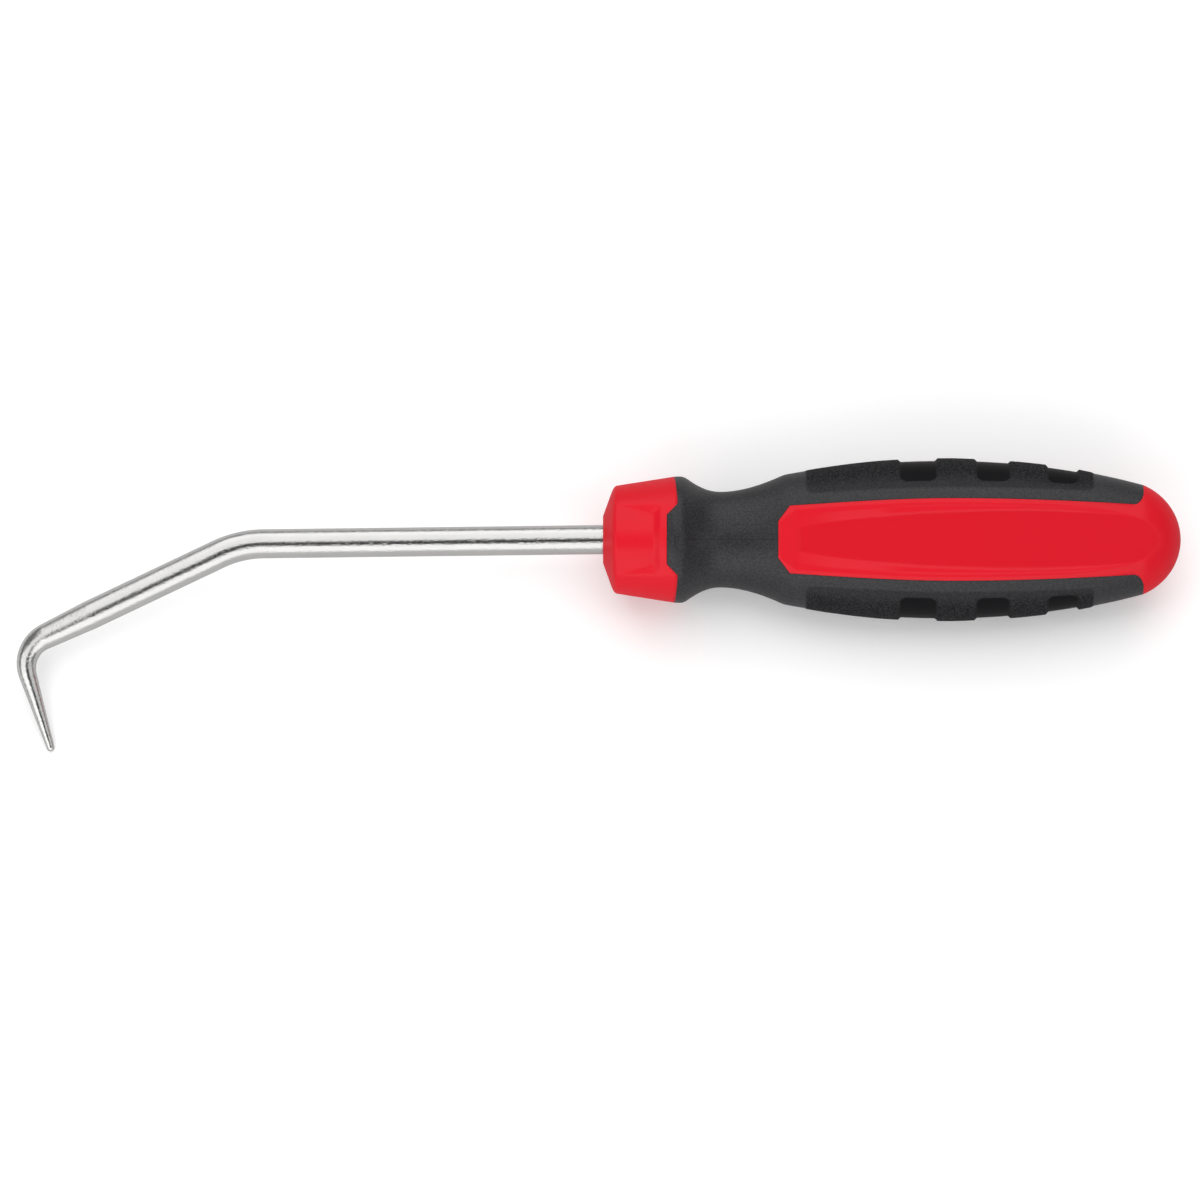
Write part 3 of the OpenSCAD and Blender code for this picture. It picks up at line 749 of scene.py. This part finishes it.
def part_dull(start, shader, share, tone, rough, bump, gloss):
    """Mixes in a second shader of less gloss: a moulded grain hides much of the sheen that a
    smooth surface would have at its edges."""
    dull = start.node("ShaderNodeBsdfPrincipled", {}, {
        "Base Color": tone, "Roughness": rough, "Normal": bump, "Specular IOR Level": gloss})
    both = start.node("ShaderNodeMixShader", {}, {
        0: share, 1: Wire(start.tree, shader.outputs[0]), 2: dull})
    start.tree.links.new(both.socket, start.tree.nodes["Material Output"].inputs["Surface"])


def red_plastic():
    """Hard red plastic with the tool's satin polish, and the matt spark grain of the fields."""
    finish, start, shader = new_finish("red_plastic")
    place = start.node("ShaderNodeTexCoord", out="Object")
    field = mask_of(start, "field")
    cloud = start.node("ShaderNodeTexNoise", {}, {"Vector": place, "Scale": 60, "Detail": 4})
    satin = start.node("ShaderNodeTexNoise", {}, {"Vector": place, "Scale": 2600, "Detail": 2})
    spark = start.node("ShaderNodeTexNoise", {}, {"Vector": place, "Scale": 1900, "Detail": 3})
    tone = cloud.between((0.69, 0.0045, 0.016, 1), (0.73, 0.006, 0.02, 1))
    tone = field.between(tone, (0.665, 0.0045, 0.015, 1))
    rough = 0.34 + 0.05 * cloud + 0.06 * field
    height = 0.25 * satin + 0.75 * spark * field
    bump = start.node("ShaderNodeBump", {}, {
        "Height": height, "Strength": 0.35, "Distance": 0.00005})
    finish_links(start, shader, Base_Color=tone, Roughness=rough, Normal=bump)
    part_dull(start, shader, 0.58 + 0.12 * field, tone, rough, bump, 0)
    return finish


# The bore that the bar fills, with a slightly wider mouth.
bore_r = 3.2
bore_end = tang_len + 0.5
mouth_r = 3.45
mouth_len = 0.25
rim = outer[0]
rim_turn = rim[:, 1:] / np.linalg.norm(rim[:, 1:], axis=1)[:, None]


def ring(x, radius):
    """A ring of the bore, which follows the bar and so leans a little from the handle's axis."""
    spots = rim_turn * radius
    return np.column_stack([np.full(around, x), spots[:, 0] + x * math.tan(rod_droop), spots[:, 1]])


bore = np.concatenate([ring(bore_end, bore_r), ring(mouth_len, bore_r), ring(0, mouth_r)])
skin_count = len(stations) * around
hidden_start = skin_count + len(bore)
coarse = hidden[np.array(station_anchors)[:, None], coarse_columns[None, :-1]]
coarse_count = len(coarse_columns) - 1


def hidden_id(i, j):
    """The number of a point under the grip, by its anchor along and its anchor around."""
    return hidden_start + i * coarse_count + j % coarse_count


ends = np.array([[bore_end, bore_end * math.tan(rod_droop), 0], [handle_len, 0, 0]])
points = np.concatenate([outer.reshape(-1, 3), bore, coarse.reshape(-1, 3), ends])
core_faces = cells_of(~is_grip)
grip_floor, seam_walls = seam_faces(hidden_id)
core_faces += grip_floor + seam_walls
ring_starts = [skin_count, skin_count + around, skin_count + 2 * around, 0]
last_start = (len(stations) - 1) * around
for n in range(around):
    after = (n + 1) % around
    for a, b in zip(ring_starts, ring_starts[1:]):
        core_faces.append((a + n, b + n, b + after, a + after))
    core_faces.append((len(points) - 2, skin_count + n, skin_count + after))
    core_faces.append((last_start + n, len(points) - 1, last_start + after))


def used_only(points, faces, *masks):
    """The points that the faces use, with the faces and masks numbered to match."""
    used = np.unique(np.concatenate([np.array(face) for face in faces]))
    renumber = np.full(len(points), -1)
    renumber[used] = np.arange(len(used))
    faces = [renumber[list(face)].tolist() for face in faces]
    return (points[used], faces) + tuple(mask[used] for mask in masks)


def whole_mask(quadrant):
    """A mask on the outer skin, with nought on the points that are not part of it."""
    mask = np.zeros(len(points))
    mask[:skin_count] = all_round(quadrant).ravel()
    return mask


core_points, core_faces, field_mask = used_only(points, core_faces, whole_mask(field))
core = moulding("handle_core_moulding", core_points, core_faces, red_plastic(), field=field_mask)
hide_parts("handle_core")
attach(core, "root")


# The grip is one soft black moulding, shot over the handle: a ring round the neck and a strip
# on each side. Each strip has a raised pad with a fine stipple and three sunk windows that are
# smooth, where the palm and fingers hold it.
def black_rubber():
    """Soft black rubber: a fine matt skin, a beaded stipple on the pads, windows without grain,
    which shine less than the skin and are painted darker as painted shade, and the mould's parting
    line on the neck, painted near black as painted shade in its groove."""
    finish, start, shader = new_finish("black_rubber")
    place = start.node("ShaderNodeTexCoord", out="Object")
    pad, window = mask_of(start, "pad"), mask_of(start, "window")
    grain = start.node("ShaderNodeTexNoise", {}, {"Vector": place, "Scale": 2600, "Detail": 3})
    stipple = start.node("ShaderNodeTexNoise", {}, {
        "Vector": place, "Scale": 3800, "Detail": 2, "Roughness": 0.55})
    cloud = start.node("ShaderNodeTexNoise", {}, {"Vector": place, "Scale": 80, "Detail": 3})
    bead = stipple.share(0.42, 0.62)
    skin = 0.7 * grain.share(0.35, 0.65) + 0.3 * cloud
    tone = skin.between((0.0045, 0.0047, 0.0065, 1), (0.034, 0.0342, 0.037, 1))
    beads = bead.between((0.005, 0.0051, 0.006, 1), (0.042, 0.042, 0.045, 1))
    tone = pad.between(tone, beads)
    # Painted shade: the smooth sunk windows are coloured darker than the rest of the rubber.
    tone = window.between(tone, (0.0065, 0.0065, 0.0075, 1))
    # Painted shade: the parting line's shallow groove is coloured near black.
    tone = mask_of(start, "parting").between(tone, (0.002, 0.002, 0.002, 1))
    rough = 0.37 + 0.06 * cloud + 0.25 * pad
    height = 0.7 * grain * (1 - window) + 1.1 * bead * pad
    bump = start.node("ShaderNodeBump", {}, {
        "Height": height, "Strength": 0.9, "Distance": 0.00011})
    finish_links(start, shader, Base_Color=tone, Roughness=rough, Normal=bump)
    share = (0.3 + 0.6 * pad + 0.7 * window).math("MINIMUM", 1)
    part_dull(start, shader, share, tone, rough, bump, 0.05)
    return finish


grip_faces = cells_of(is_grip) + [face[::-1] for face in grip_floor + seam_walls]
grip_points, grip_faces, pad_mask, window_mask, parting_mask = used_only(
    points, grip_faces, whole_mask(stippled), whole_mask(window), whole_mask(parting))
grip = moulding("grip_moulding", grip_points, grip_faces, black_rubber(), pad=pad_mask,
    window=window_mask, parting=parting_mask)
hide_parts("grip_overmould")
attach(grip, "root")


# The studio: a plain pale floor under the tool, a long softbox on each side of it with a dark
# gap overhead between them, a smaller one at each end, and a dim room round them.
def plain_floor():
    """Pale and without gloss. The camera sees it white, apart from the tool's shadow."""
    finish, start, shader = new_finish("floor")
    rays = start.node("ShaderNodeLightPath")
    tone = rays.between((0.62, 0.62, 0.62, 1), (1, 1, 1, 1))
    glow = rays.between((0, 0, 0, 1), (0.06, 0.06, 0.06, 1))
    finish_links(start, shader, Base_Color=tone, Emission_Color=glow)
    shader.inputs["Emission Strength"].default_value = 1
    shader.inputs["Roughness"].default_value = 1
    shader.inputs["Specular IOR Level"].default_value = 0
    return finish


floor_half = 4
floor_mesh = bpy.data.meshes.new("floor")
floor_mesh.from_pydata([(-floor_half, -floor_half, 0), (floor_half, -floor_half, 0),
    (floor_half, floor_half, 0), (-floor_half, floor_half, 0)], [], [(0, 1, 2, 3)])
floor_mesh.materials.append(plain_floor())
floor = bpy.data.objects.new("floor", floor_mesh)
bpy.context.collection.objects.link(floor)

# The middle of the picture, from the nose of the handle.
middle = nose + (tool_x * -0.65 + tool_y * -13.12) * mm


def facing(direction, distance, up, target=middle):
    """A place at that distance from the target, turned to look at it."""
    back = direction / np.linalg.norm(direction)
    right = np.cross(up, back)
    right /= np.linalg.norm(right)
    turn = np.column_stack([right, np.cross(back, right), back, target + back * distance])
    return Matrix(np.vstack([turn, [0, 0, 0, 1]]))


def softbox(name, lean, towards, length, width, radiance, distance=1, target=middle):
    """A softbox that leans by an angle from straight over the front panel."""
    lamp = bpy.data.lights.new(name, "AREA")
    lamp.shape = "RECTANGLE"
    lamp.size, lamp.size_y = length, width
    lamp.energy = radiance * math.pi * length * width
    box = bpy.data.objects.new(name, lamp)
    lean = math.radians(lean)
    direction = tool_z * math.cos(lean) + towards * math.sin(lean)
    box.matrix_world = facing(direction, distance, tool_y, target)
    bpy.context.collection.objects.link(box)


# The lean is in degrees, and the length, width and distance are in metres. The box at the
# hook's end is small and near, so that the leg mirrors it as a bright band.
softbox("upper_softbox", 52, tool_y, 1.5, 1.65, 1.33)
softbox("lower_softbox", 45.5, -tool_y, 1.5, 0.97, 1.33)
hook_tip = np.array(mounts["hook_tip"]["pos_m"])
leg_side = np.cross(mounts["hook_tip"]["axis"], tool_z)
softbox("hook_end_softbox", 38, leg_side, 0.35, 0.3, 1.25, 0.3, hook_tip)
softbox("butt_end_softbox", 46, tool_x, 0.9, 0.6, 0.7)

world = bpy.data.worlds.new("studio")
bpy.context.scene.world = world
world.use_nodes = True
air = Wire(world.node_tree)
# The camera sees white, gloss sees a dark room whose walls are paler low down, and all other
# light is an even dim fill.
rays = air.node("ShaderNodeLightPath")
glossy = Wire(air.tree, rays.socket.node.outputs["Is Glossy Ray"])
through = Wire(air.tree, rays.socket.node.outputs["Is Transmission Ray"])
upwards = air.node("ShaderNodeSeparateXYZ", {}, {0: air.node("ShaderNodeTexCoord")}, out=2)
wall = 1 - upwards.share(0.66, 0.82)
room_fill = 0.3 * (1 - glossy)
level = rays.math("MAXIMUM", through) + glossy * (0.03 + 0.2 * wall)
level = level.math("MAXIMUM", room_fill)
lit = world.node_tree.nodes["Background"]
lit.inputs["Color"].default_value = (1, 1, 1, 1)
air.tree.links.new(level.socket, lit.inputs["Strength"])

# The camera looks straight at the front panel from far off, as in the photograph.
camera_data = bpy.data.cameras.new("camera")
picture_width = 0.2609
camera_distance = 3
camera_data.sensor_width = 36
camera_data.lens = camera_data.sensor_width * camera_distance / picture_width
camera_data.clip_end = 20
camera = bpy.data.objects.new("camera", camera_data)
camera.matrix_world = facing(tool_z, camera_distance, tool_y)
bpy.context.collection.objects.link(camera)
bpy.context.scene.camera = camera
bpy.context.scene.view_settings.view_transform = "Standard"
